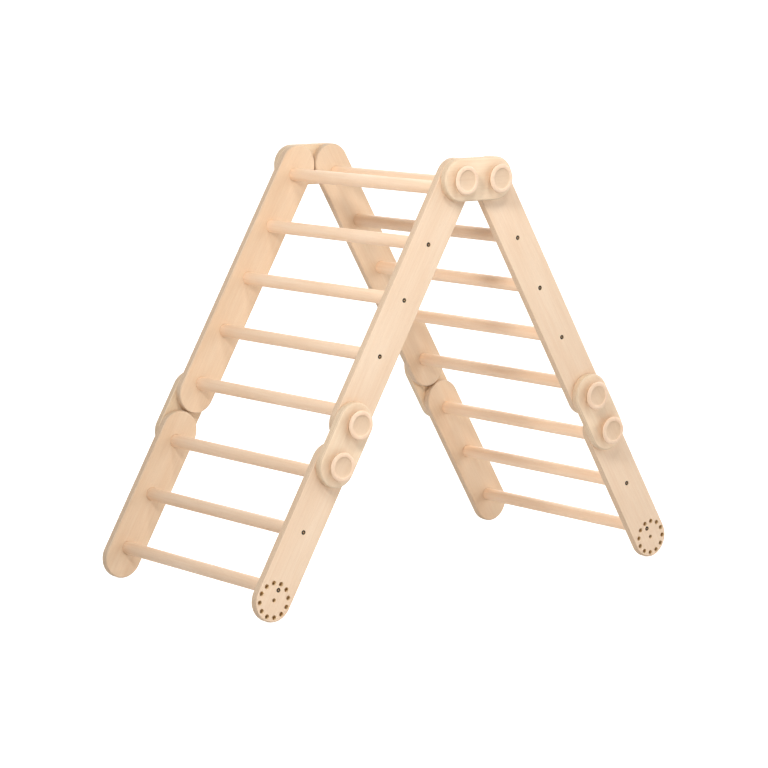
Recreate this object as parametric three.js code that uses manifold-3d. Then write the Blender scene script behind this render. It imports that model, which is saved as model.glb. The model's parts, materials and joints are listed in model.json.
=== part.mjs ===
// A free-standing wooden climbing frame for toddlers: two ladder legs that lean together at the top.
// Each leg is a long upper ladder and a short lower ladder. Link plates on the outer faces join
// ladder to ladder, and a hand knob on a threaded stud clamps every pivot.
// Millimetres, +Z up. The origin is on the floor, midway between the legs and midway between the
// sides. The left leg runs towards -X and the right leg towards +X; the front side faces -Y.
import * as THREE from 'three';
import { mergeVertices } from 'three/addons/utils/BufferGeometryUtils.js';
import Module from 'manifold-3d';

const wasm = await Module();
wasm.setup();

// ---- driving dimensions -------------------------------------------------------------------------
const gap = 0.3; // left between pieces that touch
const widthOverRails = 600;
const legLean = THREE.MathUtils.degToRad(30); // of each leg, from the vertical

const railThickness = 18;
const railRadius = 48.5; // half of a rail's width, and the radius of its round ends
const railEase = 3; // the bevel along a rail's edges
const upperLength = 596; // pivot to pivot
const lowerLength = 320;

const linkPitch = 100; // between the two pivots of a link plate
const linkRadius = railRadius;
const linkThickness = 18;
const linkEase = 5;

const rungRadius = 15;
const rungInset = 24; // from a pivot to the nearest rung
const upperRungs = 5;
const lowerRungs = 3;
const socketDepth = 6; // how far a rung is let into a rail

const screwHeadRadius = 4.8; // the counterbore of a rung's screw, in the rail's outer face
const screwHeadDepth = 3;
const screwShankRadius = 2.4;

const indexHoles = 12; // the ring of holes around each pivot, one every 30 degrees
const indexRingRadius = 38;
const indexHoleRadius = 5;
const indexHoleDepth = 8;

const studRadius = 3.8;
const studDepth = 12; // how far a stud reaches into a rail
const studGrip = 9; // how far it reaches into its knob
const boreRadius = 4.3; // the rail's blind bore for the stud
const boreDepth = 14;
const linkBoreRadius = 4.8;

const knobRadius = 32.5;
const knobHeight = 20;
const knobRound = 4; // the bevel round its rim
const knobNeckRadius = 18; // of the neck behind the cap
const knobNeckLength = 4;
const dishRadius = 25; // the hollow in a knob's face
const dishFloorRadius = 17;
const dishDepth = 5;

const arcSteps = 6; // a quarter turn of a round end
const rungSides = 16;
const knobSides = 18;
const boreSides = 8;
const smallHoleSides = 6;

// ---- places worked out from them ----------------------------------------------------------------
const railCentre = (widthOverRails - railThickness) / 2;
const linkInnerFace = widthOverRails / 2 + gap;
const knobBackFace = linkInnerFace + linkThickness + gap;
const legLength = upperLength + linkPitch + lowerLength;
const apexHeight = railRadius + legLength * Math.cos(legLean);

// ---- finishes -----------------------------------------------------------------------------------
const paleWood = (tone) => new THREE.MeshStandardMaterial({ color: tone, roughness: 0.62, metalness: 0 });
const railWood = paleWood(0xf6dcc0);
const rungWood = paleWood(0xf2d3b2);
const linkWood = paleWood(0xf9dec1);
const knobWood = paleWood(0xeed0b0);
const zincSteel = new THREE.MeshStandardMaterial({ color: 0xa7a9ab, roughness: 0.35, metalness: 1 });

// ---- solids -------------------------------------------------------------------------------------
function solidOf(geometry) {
  const bare = geometry.clone();
  bare.deleteAttribute('normal');
  bare.deleteAttribute('uv');
  const merged = mergeVertices(bare, 1e-3);
  return new wasm.Manifold(new wasm.Mesh({
    numProp: 3,
    vertProperties: new Float32Array(merged.attributes.position.array),
    triVerts: new Uint32Array(merged.index.array),
  }));
}

function geometryOf(solid) {
  const mesh = solid.getMesh();
  const geometry = new THREE.BufferGeometry();
  geometry.setAttribute('position', new THREE.BufferAttribute(mesh.vertProperties, 3));
  geometry.setIndex(new THREE.BufferAttribute(mesh.triVerts, 1));
  geometry.computeVertexNormals();
  return geometry;
}

// A flat board with two round ends: along +X between the ends' centres, thick along Y about y = 0.
function board(length, radius, thickness, ease) {
  const outline = new THREE.Shape();
  outline.moveTo(0, -radius);
  outline.lineTo(length, -radius);
  outline.absarc(length, 0, radius, -Math.PI / 2, Math.PI / 2, false);
  outline.lineTo(0, radius);
  outline.absarc(0, 0, radius, Math.PI / 2, 1.5 * Math.PI, false);
  const geometry = new THREE.ExtrudeGeometry(outline, {
    depth: thickness - 2 * ease,
    bevelThickness: ease,
    bevelSize: ease,
    bevelOffset: -ease,
    bevelSegments: 1,
    curveSegments: arcSteps,
  });
  geometry.translate(0, 0, ease - thickness / 2);
  geometry.rotateX(Math.PI / 2);
  return geometry;
}

// A drilled hole along Y at (x, z), from y = from to y = to.
function drill(radius, sides, x, z, from, to) {
  const hole = new THREE.CylinderGeometry(radius, radius, to - from, sides);
  hole.translate(x, (from + to) / 2, z);
  return solidOf(hole);
}

function rungPlaces(count, length) {
  const pitch = (length - 2 * rungInset) / (count - 1);
  return Array.from({ length: count }, (_, i) => rungInset + i * pitch);
}

// A side rail of a ladder. Its outer face is at -Y: the stud bores, index holes and screw holes are
// drilled from there, and the rung sockets from the inner face.
function rail(length, rungCount) {
  const outerFace = -railThickness / 2;
  const innerFace = railThickness / 2;
  const past = 1; // a cut starts this far outside the face
  let solid = solidOf(board(length, railRadius, railThickness, railEase));
  for (const x of rungPlaces(rungCount, length)) {
    const seat = outerFace + screwHeadDepth;
    solid = solid
      .subtract(drill(rungRadius + gap, rungSides, x, 0, innerFace - socketDepth, innerFace + past))
      .subtract(drill(screwHeadRadius, boreSides, x, 0, outerFace - past, seat))
      .subtract(drill(screwShankRadius, smallHoleSides, x, 0, outerFace - past, innerFace));
  }
  for (const pivot of [0, length]) {
    solid = solid.subtract(drill(boreRadius, boreSides, pivot, 0, outerFace - past, outerFace + boreDepth));
    for (let i = 0; i < indexHoles; i += 1) {
      const turn = (i * 2 * Math.PI) / indexHoles;
      const x = pivot + indexRingRadius * Math.cos(turn);
      const z = indexRingRadius * Math.sin(turn);
      const floor = outerFace + indexHoleDepth;
      solid = solid.subtract(drill(indexHoleRadius, smallHoleSides, x, z, outerFace - past, floor));
    }
  }
  return geometryOf(solid);
}

function linkPlate() {
  let solid = solidOf(board(linkPitch, linkRadius, linkThickness, linkEase));
  for (const pivot of [0, linkPitch]) {
    solid = solid.subtract(drill(linkBoreRadius, boreSides, pivot, 0, -linkThickness, linkThickness));
  }
  return geometryOf(solid);
}

// The knob stands on y = 0 and faces -Y. Its back holds the blind bore that grips the stud.
function knob() {
  const profile = [
    [0, studGrip],
    [linkBoreRadius, studGrip],
    [linkBoreRadius, 0],
    [knobNeckRadius, 0],
    [knobNeckRadius, knobNeckLength],
    [knobRadius, knobHeight - 2 * knobRound],
    [knobRadius, knobHeight - knobRound],
    [knobRadius - knobRound, knobHeight],
    [dishRadius, knobHeight],
    [dishFloorRadius, knobHeight - dishDepth],
    [0, knobHeight - dishDepth],
  ];
  const geometry = new THREE.LatheGeometry(profile.map(([r, y]) => new THREE.Vector2(r, y)), knobSides);
  return geometryOf(solidOf(geometry.rotateX(Math.PI)));
}

// The stud runs along Y from inside the rail, through the link plate, into the knob at y = 0.
function stud() {
  const inner = knobBackFace - widthOverRails / 2 + studDepth;
  const outer = studGrip - gap;
  const geometry = new THREE.CylinderGeometry(studRadius, studRadius, inner + outer, boreSides);
  return geometry.translate(0, (inner - outer) / 2, 0);
}

function rung() {
  const length = widthOverRails - 2 * railThickness + 2 * (socketDepth - gap);
  return new THREE.CylinderGeometry(rungRadius, rungRadius, length, rungSides);
}

// ---- the assembly -------------------------------------------------------------------------------
const frame = new THREE.Group();

function place(parent, name, geometry, material, x = 0, y = 0) {
  const piece = new THREE.Mesh(geometry, material);
  piece.name = name;
  piece.position.set(x, y, 0);
  parent.add(piece);
  return piece;
}

// A piece on both sides of the frame: the front one faces -Y, and the back one is the same piece
// turned half a turn about its own length.
function placePair(parent, name, geometry, material, x, distance) {
  place(parent, `${name}_front`, geometry, material, x, -distance);
  place(parent, `${name}_back`, geometry, material, x, distance).rotation.x = Math.PI;
}

function run(parent, x, z, turn) {
  const group = new THREE.Group();
  group.position.set(x, 0, z);
  group.rotation.y = turn;
  parent.add(group);
  return group;
}

function ladder(parent, name, railGeometry, length, rungCount, firstRung, side) {
  placePair(parent, `${side}_${name}_rail`, railGeometry, railWood, 0, railCentre);
  rungPlaces(rungCount, length).forEach((x, i) => {
    place(parent, `${side}_rung_${firstRung + i}`, rungGeometry, rungWood, x);
  });
}

function link(parent, name, pivotNames) {
  placePair(parent, `${name}_link`, linkGeometry, linkWood, 0, linkInnerFace + linkThickness / 2);
  pivotNames.forEach((pivot, i) => {
    placePair(parent, `${pivot}_knob`, knobGeometry, knobWood, i * linkPitch, knobBackFace);
    placePair(parent, `${pivot}_stud`, studGeometry, zincSteel, i * linkPitch, knobBackFace);
  });
}

const rungGeometry = rung();
const linkGeometry = linkPlate();
const knobGeometry = knob();
const studGeometry = stud();
const upperRail = rail(upperLength, upperRungs);
const lowerRail = rail(lowerLength, lowerRungs);

link(run(frame, -linkPitch / 2, apexHeight, 0), 'apex', ['apex_left', 'apex_right']);

for (const [side, sign] of [['left', -1], ['right', 1]]) {
  // turned about Y so that the group's +X runs down the leg, out and towards the floor
  const turn = Math.PI / 2 - sign * legLean;
  const leg = run(frame, (sign * linkPitch) / 2, apexHeight, turn);
  ladder(leg, 'upper', upperRail, upperLength, upperRungs, 1, side);
  link(run(leg, upperLength, 0, 0), `${side}_mid`, [`${side}_upper`, `${side}_lower`]);
  const foot = run(leg, upperLength + linkPitch, 0, 0);
  ladder(foot, 'lower', lowerRail, lowerLength, lowerRungs, upperRungs + 1, side);
}

export default frame;
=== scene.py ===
"""The looks of the climbing triangle: fine wooden boards, turned rungs and knobs, threaded studs
and screws, each built round its CAD node. Metres, +Z up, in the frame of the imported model."""

import json
import math

import bmesh
import bpy
from mathutils import Matrix, Vector


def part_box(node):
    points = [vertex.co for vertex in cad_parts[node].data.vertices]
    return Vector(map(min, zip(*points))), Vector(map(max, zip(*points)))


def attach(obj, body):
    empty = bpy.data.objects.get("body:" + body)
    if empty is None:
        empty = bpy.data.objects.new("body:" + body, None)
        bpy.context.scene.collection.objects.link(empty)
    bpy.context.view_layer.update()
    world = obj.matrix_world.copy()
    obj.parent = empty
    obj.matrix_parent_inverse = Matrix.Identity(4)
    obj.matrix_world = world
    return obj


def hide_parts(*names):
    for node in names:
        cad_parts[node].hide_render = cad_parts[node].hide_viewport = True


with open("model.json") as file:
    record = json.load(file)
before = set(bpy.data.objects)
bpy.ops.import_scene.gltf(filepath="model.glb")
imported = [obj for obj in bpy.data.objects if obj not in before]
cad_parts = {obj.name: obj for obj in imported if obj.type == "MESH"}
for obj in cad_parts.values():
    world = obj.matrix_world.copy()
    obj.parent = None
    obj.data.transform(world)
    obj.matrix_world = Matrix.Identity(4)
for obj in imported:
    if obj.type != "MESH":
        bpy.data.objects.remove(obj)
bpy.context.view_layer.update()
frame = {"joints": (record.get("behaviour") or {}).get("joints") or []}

MM = 0.001
SIDES = ("left", "right")
FACES = {"front": Vector((0, 1, 0)), "back": Vector((0, -1, 0))}  # each face's way inwards
UPPER_RUNGS = range(1, 6)
LOWER_RUNGS = range(6, 9)

# ---- sizes that the frame doesn't give ----------------------------------------------------------
RAIL_ROUND = 3.2 * MM  # the rounding along a rail's edges
LINK_OUTER_ROUND = 5 * MM  # a link plate's edges, on the face that shows
LINK_INNER_ROUND = 3.5 * MM
MOUTH = 0.5 * MM  # the break along the mouth of a drilled hole

INDEX_HOLES = 12
INDEX_RING = 38 * MM
INDEX_RADIUS = 5 * MM
INDEX_DEPTH = 8 * MM
BORE_RADIUS = 4.3 * MM
BORE_DEPTH = 14 * MM
LINK_BORE_RADIUS = 4.8 * MM

RUNG_RADIUS = 15 * MM
SOCKET_RADIUS = 15.1 * MM
SOCKET_DEPTH = 6 * MM
COUNTERBORE_RADIUS = 5.1 * MM
COUNTERBORE_DEPTH = 3 * MM
SHANK_HOLE_RADIUS = 2.4 * MM
DRILL_TIP = 1 * MM  # how much deeper a blind hole is on its axis
SCREW_SEAT = 0.4 * MM  # how far a screw's head lies below the rail's face

KNOB_RADIUS = 32.5 * MM
KNOB_NECK_RADIUS = 18 * MM
KNOB_NECK_LENGTH = 4 * MM
KNOB_HEIGHT = 20 * MM
DISH_RADIUS = 25 * MM
DISH_DEPTH = 5 * MM
STUD_GRIP = 9 * MM

THREAD_MAJOR = 3.95 * MM
THREAD_MINOR = 3.35 * MM
THREAD_PITCH = 1.25 * MM

PLY = 1.4 * MM  # one veneer of the boards
PAST = 1 * MM  # how far a cut starts outside the face

# ---- how finely round shapes are divided, as steps in a whole turn unless it says otherwise ------
END_STEPS = 48  # in half a turn, round the end of a board
EDGE_STEPS = 6  # in a quarter turn, over a board's rounded edge
HOLE_STEPS = 32
SOCKET_STEPS = 64
SCREW_HOLE_STEPS = 24
RUNG_STEPS = 72
KNOB_STEPS = 120
SCREW_STEPS = 48
STUD_STEPS = 24


# ---- places, from the frame ---------------------------------------------------------------------
def joint_place(name):
    joint = next(j for j in frame["joints"] if j["name"] == name)
    return Vector(joint["pos_m"])


def middle(node):
    low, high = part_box(node)
    return (low + high) / 2


class Leg:
    """One leg's pivots and direction, in the plane midway between the two sides."""

    def __init__(self, side):
        self.apex = joint_place(f"{side}_apex_hinge")
        self.upper = joint_place(f"{side}_upper_hinge")
        self.lower = joint_place(f"{side}_lower_hinge")
        self.down = (self.upper - self.apex).normalized()
        self.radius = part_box(f"{side}_upper_rail_front")[1].z - self.apex.z
        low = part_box(f"{side}_lower_rail_front")[0].z
        self.foot = self.lower + self.down * ((self.lower.z - low - self.radius) / -self.down.z)


LEGS = {side: Leg(side) for side in SIDES}


def y_faces(node):
    """The planes of a node's outer and inner face, as distances from the middle plane."""
    low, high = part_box(node)
    return max(abs(low.y), abs(high.y)), min(abs(low.y), abs(high.y))


def local_frame(origin, along, inwards):
    """Local +X runs along a piece, and local +Y runs inwards from its outer face."""
    across = along.cross(inwards)
    columns = Matrix((along, inwards, across)).transposed().to_4x4()
    return Matrix.Translation(origin) @ columns


# ---- the camera ---------------------------------------------------------------------------------
TARGET = Vector((-0.0165, 0, 0.4345))
AZIMUTH = math.radians(-38.62)  # from the front, towards the right
ELEVATION = math.radians(8.3)
DISTANCE = 6.664
LENS = 134.4  # millimetres, as is the sensor's width
SENSOR = 36


def make_camera():
    data = bpy.data.cameras.new("camera")
    data.lens = LENS
    data.sensor_width = SENSOR
    data.clip_end = 1000
    camera = bpy.data.objects.new("camera", data)
    back = Vector((
        math.sin(AZIMUTH) * math.cos(ELEVATION),
        -math.cos(AZIMUTH) * math.cos(ELEVATION),
        math.sin(ELEVATION),
    ))
    camera.location = TARGET + back * DISTANCE
    camera.rotation_mode = "QUATERNION"
    camera.rotation_quaternion = (-back).to_track_quat("-Z", "Y")
    bpy.context.scene.collection.objects.link(camera)
    bpy.context.scene.camera = camera


make_camera()


# ---- node trees ---------------------------------------------------------------------------------
def linear(red, green, blue):
    """An sRGB colour, 0 to 255, as the linear RGBA that shader sockets take."""
    parts = [c / 255 for c in (red, green, blue)]
    return (*[c / 12.92 if c <= 0.04045 else ((c + 0.055) / 1.055) ** 2.4 for c in parts], 1)


def grey(level):
    return linear(level, level, level)


class Tree:
    """Short words for the nodes of a material or world. An input is a socket or a plain value."""

    def __init__(self, owner):
        self.owner = owner
        owner.use_nodes = True
        self.tree = owner.node_tree

    def join(self, socket, value):
        if isinstance(value, bpy.types.NodeSocket):
            self.tree.links.new(value, socket)
        else:
            socket.default_value = value

    def node(self, kind, inputs, **settings):
        made = self.tree.nodes.new(kind)
        for key, value in settings.items():
            setattr(made, key, value)
        for key, value in inputs.items():
            self.join(made.inputs[key], value)
        return made

    def attribute(self, name):
        return self.node("ShaderNodeAttribute", {}, attribute_name=name)

    def math(self, operation, a, b=0.0):
        return self.node("ShaderNodeMath", {0: a, 1: b}, operation=operation).outputs[0]

    def vector(self, operation, a, b):
        return self.node("ShaderNodeVectorMath", {0: a, 1: b}, operation=operation).outputs[0]

    def noise(self, vector, scale, detail):
        inputs = {"Vector": vector, "Scale": scale, "Detail": detail}
        return self.node("ShaderNodeTexNoise", inputs).outputs["Fac"]

    def fit(self, value, low, high, to_low=0.0, to_high=1.0):
        span = {"From Min": low, "From Max": high, "To Min": to_low, "To Max": to_high}
        return self.node("ShaderNodeMapRange", {"Value": value, **span}).outputs["Result"]

    def mix(self, factor, a, b, blend="MIX"):
        """A mix of two colours, which are the node's inputs 6 and 7, and its output 2."""
        made = self.node("ShaderNodeMix", {}, data_type="RGBA", blend_type=blend)
        self.join(made.inputs["Factor"], factor)
        self.join(made.inputs[6], a)
        self.join(made.inputs[7], b)
        return made.outputs[2]

    def bump(self, height, distance, strength, normal=None):
        inputs = {"Height": height, "Distance": distance, "Strength": strength}
        if normal:
            inputs["Normal"] = normal
        return self.node("ShaderNodeBump", inputs).outputs["Normal"]

    def finish(self, **inputs):
        shader = self.tree.nodes["Principled BSDF"]
        for key, value in inputs.items():
            self.join(shader.inputs[key.replace("_", " ")], value)
        return self.owner


# ---- materials ----------------------------------------------------------------------------------
class Grain:
    """The figure of pale wood, from the piece's own "grain" coordinates: +X is along the fibres."""

    def __init__(self, tree):
        self.place = tree.attribute("grain").outputs["Vector"]
        sway = tree.noise(tree.vector("MULTIPLY", self.place, (3, 14, 14)), 1, 1)
        push = tree.math("MULTIPLY", tree.math("SUBTRACT", sway, 0.5), 0.012)
        shift = tree.node("ShaderNodeCombineXYZ", {"Y": push, "Z": push}).outputs[0]
        self.bent = tree.vector("ADD", self.place, shift)
        self.cloud = self.stretch(tree, 5, 26, 2)
        self.streak = self.stretch(tree, 7, 230, 4)
        self.fibre = self.stretch(tree, 60, 2400, 2)
        self.dash = self.stretch(tree, 260, 1900, 1)

    def stretch(self, tree, along, across, detail):
        """Noise with about this many waves in a metre, along and across the fibres."""
        return tree.noise(tree.vector("MULTIPLY", self.bent, (along, across, across)), 1, detail)


def figured(tree, grain, pale, deep):
    """Pale wood with soft clouds, thin streaks, fibres and a few short dark flecks."""
    half_cloud = tree.math("MULTIPLY", grain.cloud, 0.5)
    half_streak = tree.math("MULTIPLY", grain.streak, 0.5)
    depth = tree.math("ADD", half_cloud, half_streak)
    colour = tree.mix(tree.fit(depth, 0.36, 0.64), pale, deep)
    fibre = tree.fit(grain.fibre, 0.3, 0.7, 1.035, 0.965)
    colour = tree.vector("MULTIPLY", colour, fibre)
    fleck = tree.fit(grain.dash, 0.66, 0.74, 0, 0.22)
    colour = tree.mix(fleck, colour, linear(176, 132, 92))
    # the piece's tone, partly the wood's own and partly painted light and shade
    tone_and_shade = tree.fit(tree.attribute("tone_and_shade").outputs["Fac"], -30, 30, 0.7, 1.3)
    return tree.vector("MULTIPLY", colour, tone_and_shade)


def surface(tree, grain, rough):
    """Sanded wood under a matt finish: the fibres stand a little proud."""
    roughness = tree.fit(grain.streak, 0.3, 0.7, rough - 0.06, rough + 0.06)
    normal = tree.bump(grain.fibre, 0.05 * MM, 0.7)
    normal = tree.bump(grain.streak, 0.12 * MM, 0.5, normal)
    return {"Roughness": roughness, "Normal": normal}


def board_wood(name, pale, deep):
    """Birch plywood. The veneers are layers through the board's thickness, so its edges and rounded
    corners show them, with end grain where a veneer's fibres run out."""
    tree = Tree(bpy.data.materials.new(name))
    grain = Grain(tree)
    face = figured(tree, grain, pale, deep)
    thickness = tree.node("ShaderNodeSeparateXYZ", {0: grain.place}).outputs["Y"]
    layers = tree.math("ADD", tree.math("DIVIDE", thickness, PLY), 0.5)
    layer = tree.math("FLOOR", layers)
    # every other veneer runs across the board: it ends at the flanks, and the rest at the tips
    across = tree.math("ABSOLUTE", tree.math("MODULO", layer, 2.0))
    facing = tree.node("ShaderNodeSeparateXYZ", {0: tree.attribute("facing").outputs["Vector"]})
    tip = tree.math("ABSOLUTE", facing.outputs["X"])
    flank = tree.math("ABSOLUTE", facing.outputs["Z"])
    run_out = tree.node("ShaderNodeMix", {0: across, 2: tip, 3: flank}).outputs[0]
    pores = tree.fit(grain.dash, 0.35, 0.7)
    end_grain = tree.mix(pores, linear(214, 184, 148), linear(182, 150, 114))
    colour = tree.mix(tree.math("MULTIPLY", run_out, 0.62), face, end_grain)
    # a thin line of glue between two veneers, seen only on the edges
    within = tree.math("ABSOLUTE", tree.math("SUBTRACT", tree.math("FRACT", layers), 0.5))
    glue = tree.fit(within, 0.42, 0.5, 0, 0.45)
    edge = tree.fit(tree.math("ABSOLUTE", facing.outputs["Y"]), 0.97, 0.75)
    colour = tree.mix(tree.math("MULTIPLY", glue, edge), colour, linear(150, 108, 74))
    # the edges are a little duller than the outer face, and the inner face is darkened a little as
    # painted shade
    colour = tree.mix(edge, colour, grey(243), "MULTIPLY")
    inner = tree.fit(facing.outputs["Y"], 0.75, 0.97)
    colour = tree.mix(inner, colour, linear(246, 244, 239), "MULTIPLY")
    return tree.finish(Base_Color=colour, **surface(tree, grain, 0.56))


def solid_wood(name, pale, deep):
    """Turned hardwood, with its fibres along the piece's own X."""
    tree = Tree(bpy.data.materials.new(name))
    grain = Grain(tree)
    return tree.finish(Base_Color=figured(tree, grain, pale, deep), **surface(tree, grain, 0.52))


def drilled_wood_and_shade():
    """The walls of drilled holes: torn end fibres, darker than the boards' faces, and darker still
    as painted shade for the depth of the holes.
    """
    tree = Tree(bpy.data.materials.new("drilled_wood_and_shade"))
    grain = Grain(tree)
    colour = tree.mix(tree.fit(grain.dash, 0.3, 0.7), linear(224, 196, 152), linear(204, 172, 128))
    return tree.finish(Base_Color=colour, Roughness=tree.fit(grain.fibre, 0.3, 0.7, 0.7, 0.9))


def dark_steel():
    """Zinc-plated steel, passivated dark, with faint scratches."""
    tree = Tree(bpy.data.materials.new("dark_steel"))
    place = tree.attribute("grain").outputs["Vector"]
    blotch = tree.noise(place, 900, 3)
    colour = tree.mix(tree.fit(blotch, 0.35, 0.65), linear(74, 71, 70), linear(48, 46, 46))
    roughness = tree.fit(tree.noise(place, 2600, 2), 0.3, 0.7, 0.3, 0.46)
    return tree.finish(Base_Color=colour, Metallic=1.0, Roughness=roughness)


def floor_paint(name, level, glow):
    """Matt grey paint of this level, 0 to 255, a little mottled. It also glows white."""
    tree = Tree(bpy.data.materials.new(name))
    place = tree.node("ShaderNodeTexCoord", {}).outputs["Object"]
    colour = tree.mix(tree.noise(place, 1.5, 2), grey(level), grey(level - 4))
    return tree.finish(
        Base_Color=colour, Roughness=0.9, Emission_Color=(1, 1, 1, 1), Emission_Strength=glow
    )


RAIL_WOOD = board_wood("rail_plywood", linear(246, 219, 190), linear(240, 208, 176))
LINK_WOOD = board_wood("link_plywood", linear(250, 226, 195), linear(244, 215, 182))
RUNG_WOOD = solid_wood("rung_beech", linear(250, 220, 190), linear(243, 208, 174))
KNOB_WOOD = solid_wood("knob_beech", linear(247, 218, 190), linear(240, 206, 175))
HOLLOW_WOOD = solid_wood("hollow_beech", linear(231, 203, 173), linear(224, 192, 160))
# the underside of a knob's cap and its neck: beech darkened as painted shade under the cap
UNDERCUT_PAINTED_SHADE = solid_wood("undercut_beech_painted_shade", linear(206, 172, 136), linear(194, 158, 122))
# darker hole walls: end grain, with painted shade for the depth of the holes
DRILLED_WOOD_AND_SHADE = drilled_wood_and_shade()
STEEL = dark_steel()


# ---- mesh code ----------------------------------------------------------------------------------
def arc(centre, radius, start, stop, steps):
    """Points (x, y) along an arc, both ends included. Angles are in degrees."""
    turns = [math.radians(start + (stop - start) * i / steps) for i in range(steps + 1)]
    return [(centre[0] + radius * math.cos(t), centre[1] + radius * math.sin(t)) for t in turns]


def bridge(bm, ring_a, ring_b):
    """Quads between two closed rings of as many vertices."""
    count = len(ring_a)
    for i in range(count):
        j = (i + 1) % count
        bm.faces.new((ring_a[i], ring_a[j], ring_b[j], ring_b[i]))


def add_board(bm, length, radius, thickness, outer_round, inner_round):
    """A board with two round ends and rounded edges. Its outer face is at y = 0."""
    outer = arc((outer_round, outer_round), outer_round, -90, -180, EDGE_STEPS)
    inner = arc((inner_round, thickness - inner_round), inner_round, 180, 90, EDGE_STEPS)
    rings = []
    for inset, y in outer + inner:
        far_end = arc((length, 0), radius - inset, -90, 90, END_STEPS)
        near_end = arc((0, 0), radius - inset, 90, 270, END_STEPS)
        rings.append([bm.verts.new((x, y, z)) for x, z in far_end + near_end])
    for near, far in zip(rings, rings[1:]):
        bridge(bm, near, far)
    bm.faces.new(list(reversed(rings[0])))
    bm.faces.new(rings[-1])


def add_lathe(bm, profile, steps, place=(0, 0, 0), inwards=1):
    """Turns a profile of (radius, depth) about the Y axis. It starts and ends on the axis."""
    turns = [2 * math.pi * i / steps for i in range(steps)]
    x, y, z = place
    rings = []
    for radius, depth in profile:
        around = turns if radius else [0]
        rings.append([
            bm.verts.new((x + radius * math.cos(t), y + inwards * depth, z + radius * math.sin(t)))
            for t in around
        ])
    for near, far in zip(rings, rings[1:]):
        if len(near) == 1 or len(far) == 1:
            pole, ring = (near[0], far) if len(near) == 1 else (far[0], near)
            for i in range(steps):
                bm.faces.new((pole, ring[i], ring[(i + 1) % steps]))
        else:
            bridge(bm, near, far)


def new_mesh(name, fill, *materials):
    """A mesh made by fill(bm), with its faces pointing out."""
    bm = bmesh.new()
    fill(bm)
    bmesh.ops.recalc_face_normals(bm, faces=bm.faces)
    mesh = bpy.data.meshes.new(name)
    bm.to_mesh(mesh)
    bm.free()
    for material in materials:
        mesh.materials.append(material)
    return mesh


def applied(mesh, kind, **settings):
    """The mesh after one modifier."""
    holder = bpy.data.objects.new("holder", mesh)
    bpy.context.scene.collection.objects.link(holder)
    modifier = holder.modifiers.new(kind, kind)
    for key, value in settings.items():
        setattr(modifier, key, value)
    graph = bpy.context.evaluated_depsgraph_get()
    made = bpy.data.meshes.new_from_object(holder.evaluated_get(graph), depsgraph=graph)
    bpy.data.objects.remove(holder)
    return made


def cut(mesh, fill):
    """Cuts away what fill(bm) makes. The cut faces take the drilled wood and its painted shade."""
    cutter = bpy.data.objects.new("cutter", new_mesh("cutter", fill, DRILLED_WOOD_AND_SHADE))
    bpy.context.scene.collection.objects.link(cutter)
    made = applied(
        mesh, "BOOLEAN",
        operation="DIFFERENCE", object=cutter, solver="EXACT", material_mode="TRANSFER",
    )
    bpy.data.objects.remove(cutter)
    return made


def smoothed(mesh, sharp_above=30):
    """Smooth shading with the flat faces kept flat. Edges above this many degrees stay sharp."""
    mesh.shade_smooth()
    mesh.set_sharp_from_angle(angle=math.radians(sharp_above))
    return applied(mesh, "WEIGHTED_NORMAL", keep_sharp=True, weight=80)


def hole(radius, depth, tip=0.0):
    """The profile of a drilled hole with a broken mouth."""
    wide = radius + MOUTH + PAST
    return [(0, -PAST), (wide, -PAST), (radius, MOUTH), (radius, depth), (0, depth + tip)]


# ---- the pieces' meshes, in their own frames ----------------------------------------------------
def rung_places(side, numbers, start):
    """How far along the leg each rung lies from the pivot at start."""
    return [(middle(f"{side}_rung_{n}") - start).dot(LEGS[side].down) for n in numbers]


def rail_mesh(length, rungs, thickness):
    def board(bm):
        add_board(bm, length, LEGS["left"].radius, thickness, RAIL_ROUND, RAIL_ROUND)

    def pivots_and_sockets(bm):
        for pivot in (0, length):
            add_lathe(bm, hole(BORE_RADIUS, BORE_DEPTH, DRILL_TIP), HOLE_STEPS, (pivot, 0, 0))
            for i in range(INDEX_HOLES):
                turn = 2 * math.pi * i / INDEX_HOLES
                place = (pivot + INDEX_RING * math.cos(turn), 0, INDEX_RING * math.sin(turn))
                add_lathe(bm, hole(INDEX_RADIUS, INDEX_DEPTH, DRILL_TIP), HOLE_STEPS, place)
        for x in rungs:
            add_lathe(bm, hole(SOCKET_RADIUS, SOCKET_DEPTH), SOCKET_STEPS, (x, thickness, 0), -1)

    def screw_holes(bm):
        seat = COUNTERBORE_DEPTH
        in_socket = thickness - 4 * MM
        shank = [(SHANK_HOLE_RADIUS, seat), (SHANK_HOLE_RADIUS, in_socket), (0, in_socket)]
        for x in rungs:
            add_lathe(bm, hole(COUNTERBORE_RADIUS, seat)[:-1] + shank, SCREW_HOLE_STEPS, (x, 0, 0))

    mesh = new_mesh("rail", board, RAIL_WOOD)
    return smoothed(cut(cut(mesh, pivots_and_sockets), screw_holes))


def link_mesh(pitch, thickness):
    def board(bm):
        add_board(bm, pitch, LEGS["left"].radius, thickness, LINK_OUTER_ROUND, LINK_INNER_ROUND)

    def bores(bm):
        start, stop = -PAST, thickness + PAST
        profile = [(0, start), (LINK_BORE_RADIUS, start), (LINK_BORE_RADIUS, stop), (0, stop)]
        for pivot in (0, pitch):
            add_lathe(bm, profile, HOLE_STEPS, (pivot, 0, 0))

    return smoothed(cut(new_mesh("link", board, LINK_WOOD), bores))


def rung_mesh(length):
    chamfer = 0.8 * MM

    def dowel(bm):
        start = [(0, 0), (RUNG_RADIUS - chamfer, 0), (RUNG_RADIUS, chamfer)]
        stop = [(radius, length - y) for radius, y in reversed(start)]
        add_lathe(bm, start + stop, RUNG_STEPS)

    return smoothed(new_mesh("rung", dowel, RUNG_WOOD))


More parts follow.
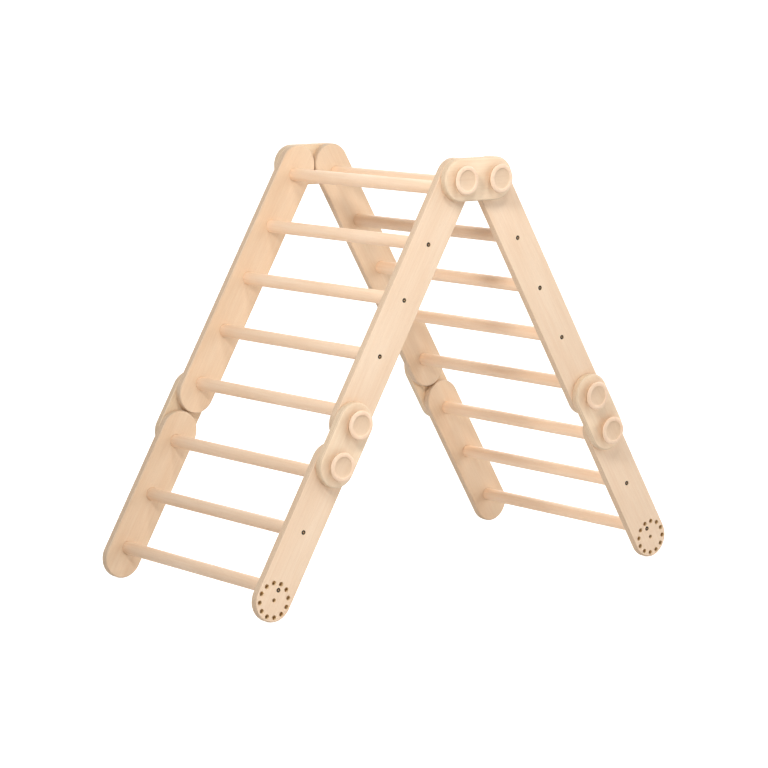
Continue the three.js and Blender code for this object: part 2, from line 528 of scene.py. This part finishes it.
def knob_mesh():
    """A rounded cap on a neck, hollowed in front like a shallow bowl. Its back is at y = 0, and its
    front is towards -Y."""
    rim = 4.6 * MM  # the rounding of the cap's edge
    lip = 2.6 * MM  # the rounding into the bowl
    throat = 3 * MM  # the rounding from the neck into the cap
    top = KNOB_HEIGHT
    edge_of_bowl = DISH_RADIUS - lip * math.sin(math.radians(60))

    def turned(bm):
        socket = [(0, STUD_GRIP), (LINK_BORE_RADIUS, STUD_GRIP), (LINK_BORE_RADIUS, 0)]
        neck = [(KNOB_NECK_RADIUS, 0)]
        neck += arc((KNOB_NECK_RADIUS + throat, KNOB_NECK_LENGTH), throat, 180, 112, 6)
        crest = arc((KNOB_RADIUS - rim, top - rim), rim, -55, 90, 18)
        inside = arc((DISH_RADIUS, top - lip), lip, 90, 150, 6)
        brink = inside[-1][1]
        hollow = brink - (top - DISH_DEPTH)
        turns = [math.pi * i / 28 for i in range(1, 14)]
        bowl = [(edge_of_bowl * math.cos(t), brink - hollow * math.sin(t)) for t in turns]
        bowl.append((0, top - DISH_DEPTH))
        add_lathe(bm, socket + neck + crest + inside + bowl, KNOB_STEPS, inwards=-1)

    mesh = new_mesh("knob", turned, KNOB_WOOD, HOLLOW_WOOD, UNDERCUT_PAINTED_SHADE)
    for face in mesh.polygons:
        out_from_axis = math.hypot(face.center.x, face.center.z)
        height = -face.center.y
        if out_from_axis < edge_of_bowl and height > top - DISH_DEPTH - 0.1 * MM:
            face.material_index = 1
        elif height < top - 0.9 * rim:
            # the cap's underside and the neck take the darker beech: painted shade under the cap
            face.material_index = 2
    return smoothed(mesh)


def stud_mesh(inner, outer):
    """A threaded rod from y = -outer, in the knob, to y = inner, in the rail."""
    rings_per_turn = 6
    count = round((inner + outer) / THREAD_PITCH * rings_per_turn)

    def thread(bm):
        rings = []
        for i in range(count + 1):
            y = -outer + (inner + outer) * i / count
            ends = min(1.0, (y + outer) / THREAD_PITCH, (inner - y) / THREAD_PITCH)
            ring = []
            for k in range(STUD_STEPS):
                phase = (y / THREAD_PITCH - k / STUD_STEPS) % 1
                crest = ends * (1 - abs(2 * phase - 1))
                radius = THREAD_MINOR + (THREAD_MAJOR - THREAD_MINOR) * min(1.0, 1.15 * crest)
                turn = 2 * math.pi * k / STUD_STEPS
                ring.append(bm.verts.new((radius * math.cos(turn), y, radius * math.sin(turn))))
            rings.append(ring)
        for near, far in zip(rings, rings[1:]):
            bridge(bm, near, far)
        bm.faces.new(rings[0])
        bm.faces.new(list(reversed(rings[-1])))

    return smoothed(new_mesh("stud", thread, STEEL), 50)


def screw_mesh():
    """A wood screw with a flat head and a hex socket. The head's top is at y = 0."""
    head = 4.8 * MM
    crown = 0.4 * MM  # the rounding of the head's edge
    shank = 2.2 * MM
    length = 40 * MM
    socket = 2.1 * MM

    def body(bm):
        profile = [(0, 0)] + arc((head - crown, crown), crown, -90, 0, 4)
        profile += [(head, 2.3 * MM), (shank, 2.7 * MM), (shank, length - 6 * MM), (0, length)]
        add_lathe(bm, profile, SCREW_STEPS)

    def hex_socket(bm):
        add_lathe(bm, [(0, -PAST), (socket, -PAST), (socket, 1.9 * MM), (0, 2.2 * MM)], 6)

    return smoothed(cut(new_mesh("screw", body, STEEL), hex_socket))


# ---- placing them -------------------------------------------------------------------------------
def scatter(index, salt):
    """A fixed number from -1 to 1 for each piece, so that no two pieces of wood match."""
    return math.modf(abs(math.sin(index * 12.9898 + salt * 78.233)) * 43758.5453)[0] * 2 - 1


made_pieces = []
# How much paler some pieces are, in percent: partly their own tone, partly painted light and shade,
# as on the darker lower left rungs and second right rung and the paler lower right rungs. The
# others differ by up to 2 either way.
TONES_AND_SHADE = {
    "left_upper_rail_front": -3, "left_lower_rail_front": -4, "left_lower_rail_back": -6,
    "left_mid_link_back": -7, "left_rung_1": 4, "left_rung_2": 4, "left_rung_3": 4,
    "left_rung_5": -3, "left_rung_6": -7, "left_rung_7": -12, "left_rung_8": -9,
    "right_upper_rail_back": -5, "right_lower_rail_front": 4, "right_lower_rail_back": 4,
    "right_mid_link_front": 5, "right_mid_link_back": 5, "right_lower_knob_front": 5,
    "right_upper_knob_front": 4, "right_rung_2": -13, "right_rung_3": 1, "right_rung_4": 6,
    "right_rung_6": 8, "right_rung_7": 8, "right_rung_8": 7,
}


def put(name, template, matrix, body, slot, node=None, fibres="XYZ"):
    """A copy of template, set in place by matrix, that rides on body. fibres names the template's
    axes in this order: along the fibres, through the thickness, across."""
    index = len(made_pieces)
    mesh = template.copy()
    mesh.name = name
    order = ["XYZ".index(axis) for axis in fibres]
    shift = [3 * scatter(index, 1), 0, 3 * scatter(index, 2)]
    if slot in ("rung_wood", "knob_wood"):
        shift[1] = 3 * scatter(index, 3)
    grain = mesh.attributes.new("grain", "FLOAT_VECTOR", "POINT")
    places = [vertex.co[order[a]] + shift[a] for vertex in mesh.vertices for a in range(3)]
    grain.data.foreach_set("vector", places)
    tone_and_shade = mesh.attributes.new("tone_and_shade", "FLOAT", "POINT")
    percent = TONES_AND_SHADE.get(node, 2 * scatter(index, 4))
    tone_and_shade.data.foreach_set("value", [percent] * len(mesh.vertices))
    facing = mesh.attributes.new("facing", "FLOAT_VECTOR", "FACE")
    normals = [face.normal[order[a]] for face in mesh.polygons for a in range(3)]
    facing.data.foreach_set("vector", normals)
    mesh.transform(matrix)
    piece = bpy.data.objects.new(name, mesh)
    bpy.context.scene.collection.objects.link(piece)
    made_pieces.append(piece)
    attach(piece, body)
    if node:
        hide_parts(node)


def place_ladders():
    outer, inner = y_faces("left_upper_rail_front")
    thickness = outer - inner
    rung_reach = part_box("left_rung_1")[1].y
    screw_depth = outer - SCREW_SEAT
    rung = rung_mesh(2 * rung_reach)
    screw = screw_mesh()
    left = LEGS["left"]
    sections = [
        ("upper", left.apex, left.upper, UPPER_RUNGS),
        ("lower", left.lower, left.foot, LOWER_RUNGS),
    ]
    for part, start, stop, numbers in sections:
        rail = rail_mesh((stop - start).length, rung_places("left", numbers, start), thickness)
        for side, leg in LEGS.items():
            body = f"{side}_{part}_ladder"
            top = leg.apex if part == "upper" else leg.lower
            for face, inwards in FACES.items():
                node = f"{side}_{part}_rail_{face}"
                matrix = local_frame(top - inwards * outer, leg.down, inwards)
                put(f"{node}_board", rail, matrix, body, "rail_wood", node)
            for n in numbers:
                node = f"{side}_rung_{n}"
                end = middle(node) - Vector((0, rung_reach, 0))
                matrix = local_frame(end, leg.down, FACES["front"])
                put(f"{node}_dowel", rung, matrix, body, "rung_wood", node, "YXZ")
                for face, inwards in FACES.items():
                    matrix = local_frame(middle(node) - inwards * screw_depth, leg.down, inwards)
                    put(f"{node}_screw_{face}", screw, matrix, body, "steel")


def place_links():
    outer, inner = y_faces("apex_link_front")
    left, right = LEGS["left"], LEGS["right"]
    link = link_mesh((left.lower - left.upper).length, outer - inner)
    knob = knob_mesh()
    knob_back = y_faces("apex_left_knob_front")[1]
    stud_outer, stud_inner = y_faces("apex_left_stud_front")
    stud = stud_mesh(knob_back - stud_inner, stud_outer - knob_back)
    links = [("apex", Vector((1, 0, 0)), {"apex_left": left.apex, "apex_right": right.apex})]
    for side, leg in LEGS.items():
        pivots = {f"{side}_upper": leg.upper, f"{side}_lower": leg.lower}
        links.append((f"{side}_mid", leg.down, pivots))
    for name, along, pivots in links:
        start = next(iter(pivots.values()))
        for face, inwards in FACES.items():
            node = f"{name}_link_{face}"
            matrix = local_frame(start - inwards * outer, along, inwards)
            put(f"{node}_plate", link, matrix, f"{name}_links", "link_wood", node)
            for pivot, centre in pivots.items():
                clamp = f"{pivot}_clamp_{face}"
                matrix = local_frame(centre - inwards * knob_back, along, inwards)
                node = f"{pivot}_knob_{face}"
                put(f"{node}_turned", knob, matrix, clamp, "knob_wood", node)
                node = f"{pivot}_stud_{face}"
                put(f"{node}_threaded", stud, matrix, clamp, "steel", node)


place_ladders()
place_links()


# ---- the studio ---------------------------------------------------------------------------------
RIGHT_SKY = 2.5  # the sky's light at the far right, and at the far back: it fades from there
BACK_SKY = 1.1
# each light's degrees from the front, degrees up and watts
STUDIO_LIGHTS = {"key": (-56, 33, 42), "fill": (-20, 48, 24)}
LIGHT_WIDTH = 0.7
LIGHT_DISTANCE = 3
LIGHT_AIM = Vector((0, 0, 0.6))
FLOOR_HALF = 300
SEEN_GLOW = 0.9  # of the floor that the eye sees, so that it is pure white
GROUND_LIGHT = 0.2  # the glow of the floor below it, besides the light that it throws back


def make_floor():
    """A white floor for the eye, and a duller one just below it that takes the shadows and lights
    the wood from underneath."""
    def square(bm):
        bmesh.ops.create_grid(bm, x_segments=4, y_segments=4, size=FLOOR_HALF)

    white = floor_paint("white_paint", 204, SEEN_GLOW)
    dull = floor_paint("dull_paint", 198, GROUND_LIGHT)
    floors = [("floor", white, True, 0), ("floor_below", dull, False, -2 * MM)]
    for name, paint, seen, height in floors:
        floor = bpy.data.objects.new(name, new_mesh(name, square, paint))
        floor.location.z = height
        floor.visible_camera = seen
        floor.visible_diffuse = not seen
        floor.visible_glossy = not seen
        floor.visible_shadow = not seen
        bpy.context.scene.collection.objects.link(floor)


def make_sky():
    tree = Tree(bpy.data.worlds.new("studio"))
    place = tree.node("ShaderNodeTexCoord", {}).outputs["Generated"]
    way = tree.node("ShaderNodeSeparateXYZ", {0: place})
    right = tree.fit(way.outputs["X"], 0, 1, 0, RIGHT_SKY)
    back = tree.fit(way.outputs["Y"], 0, 1, 0, BACK_SKY)
    sky = tree.tree.nodes["Background"]
    tree.join(sky.inputs["Strength"], tree.math("ADD", right, back))
    tree.join(sky.inputs["Color"], (1, 1, 1, 1))
    bpy.context.scene.world = tree.owner


def make_lights():
    """Large soft lights in front of the object, well above it."""
    for name, (turn, up, power) in STUDIO_LIGHTS.items():
        data = bpy.data.lights.new(name, "AREA")
        data.shape = "DISK"
        data.size = LIGHT_WIDTH
        data.energy = power
        light = bpy.data.objects.new(name, data)
        turn, up = math.radians(turn), math.radians(up)
        way = Vector((math.sin(turn) * math.cos(up), -math.cos(turn) * math.cos(up), math.sin(up)))
        light.location = LIGHT_AIM + way * LIGHT_DISTANCE
        light.rotation_mode = "QUATERNION"
        light.rotation_quaternion = (-way).to_track_quat("-Z", "Y")
        bpy.context.scene.collection.objects.link(light)


make_floor()
make_sky()
make_lights()
bpy.context.scene.view_settings.view_transform = "Standard"
